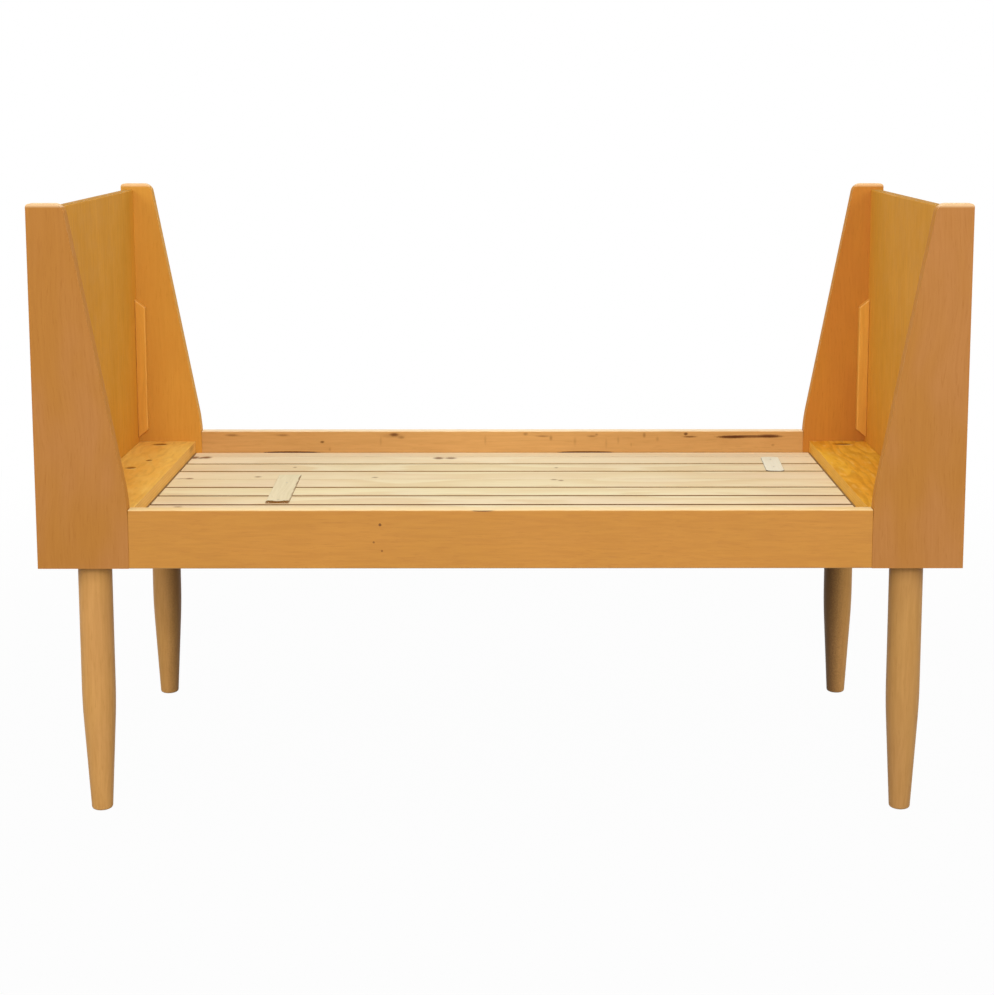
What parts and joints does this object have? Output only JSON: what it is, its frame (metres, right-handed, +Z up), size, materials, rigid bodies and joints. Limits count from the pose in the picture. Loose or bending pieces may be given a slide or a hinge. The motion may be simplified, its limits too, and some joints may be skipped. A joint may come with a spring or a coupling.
{
  "type": "bed frame",
  "caption": "Small wooden bed frame with tapered wing ends, plywood end shelves, a lengthways slat deck between rails, and turned tapered legs.",
  "frame": {"origin": "on the floor, under the middle of the bed", "axes": "+X along the bed to its right end, +Y from the front rail to the rear rail, +Z up"},
  "size_m": [1.3, 0.64, 0.883],
  "materials": {
    "wing_wood": "satin varnish",
    "panel_wood": "satin varnish",
    "rail_wood": "satin varnish",
    "shelf_plywood": "satin varnish",
    "slat_wood": "raw planed",
    "strip_wood": "raw planed",
    "inner_wood": "raw sawn",
    "leg_wood": "satin varnish",
    "steel": "zinc plated"
  },
  "bodies": {
    "root": {"front_left_wing": "wing_wood", "front_right_wing": "wing_wood", "rear_left_wing": "wing_wood", "rear_right_wing": "wing_wood", "left_end_panel": "panel_wood", "right_end_panel": "panel_wood", "front_rail": "rail_wood", "rear_rail": "rail_wood", "left_end_shelf": "shelf_plywood", "right_end_shelf": "shelf_plywood", "front_left_cleat": "panel_wood", "front_right_cleat": "panel_wood", "rear_left_cleat": "panel_wood", "rear_right_cleat": "panel_wood", "slat_1": "slat_wood", "slat_2": "slat_wood", "slat_3": "slat_wood", "slat_4": "slat_wood", "slat_5": "slat_wood", "slat_6": "slat_wood", "slat_7": "slat_wood", "slat_8": "slat_wood", "slat_9": "slat_wood", "filler_slat": "slat_wood", "tie_strip": "strip_wood", "patch_strip": "strip_wood", "front_ledger": "inner_wood", "rear_ledger": "inner_wood", "left_end_bearer": "inner_wood", "right_end_bearer": "inner_wood", "bearer_1": "inner_wood", "bearer_2": "inner_wood", "bearer_3": "inner_wood", "bearer_4": "inner_wood", "bearer_5": "inner_wood", "front_left_leg_block": "inner_wood", "front_right_leg_block": "inner_wood", "rear_left_leg_block": "inner_wood", "rear_right_leg_block": "inner_wood", "front_left_leg": "leg_wood", "front_right_leg": "leg_wood", "rear_left_leg": "leg_wood", "rear_right_leg": "leg_wood", "leg_studs": "steel", "leg_nuts": "steel", "rail_dowels": "inner_wood", "panel_dowels": "inner_wood", "ledger_screws": "steel", "bearer_screws": "steel", "block_screws": "steel", "shelf_screws": "steel", "slat_nails": "steel", "cleat_pins": "steel", "strip_pins": "steel"}
  },
  "joints": []
}
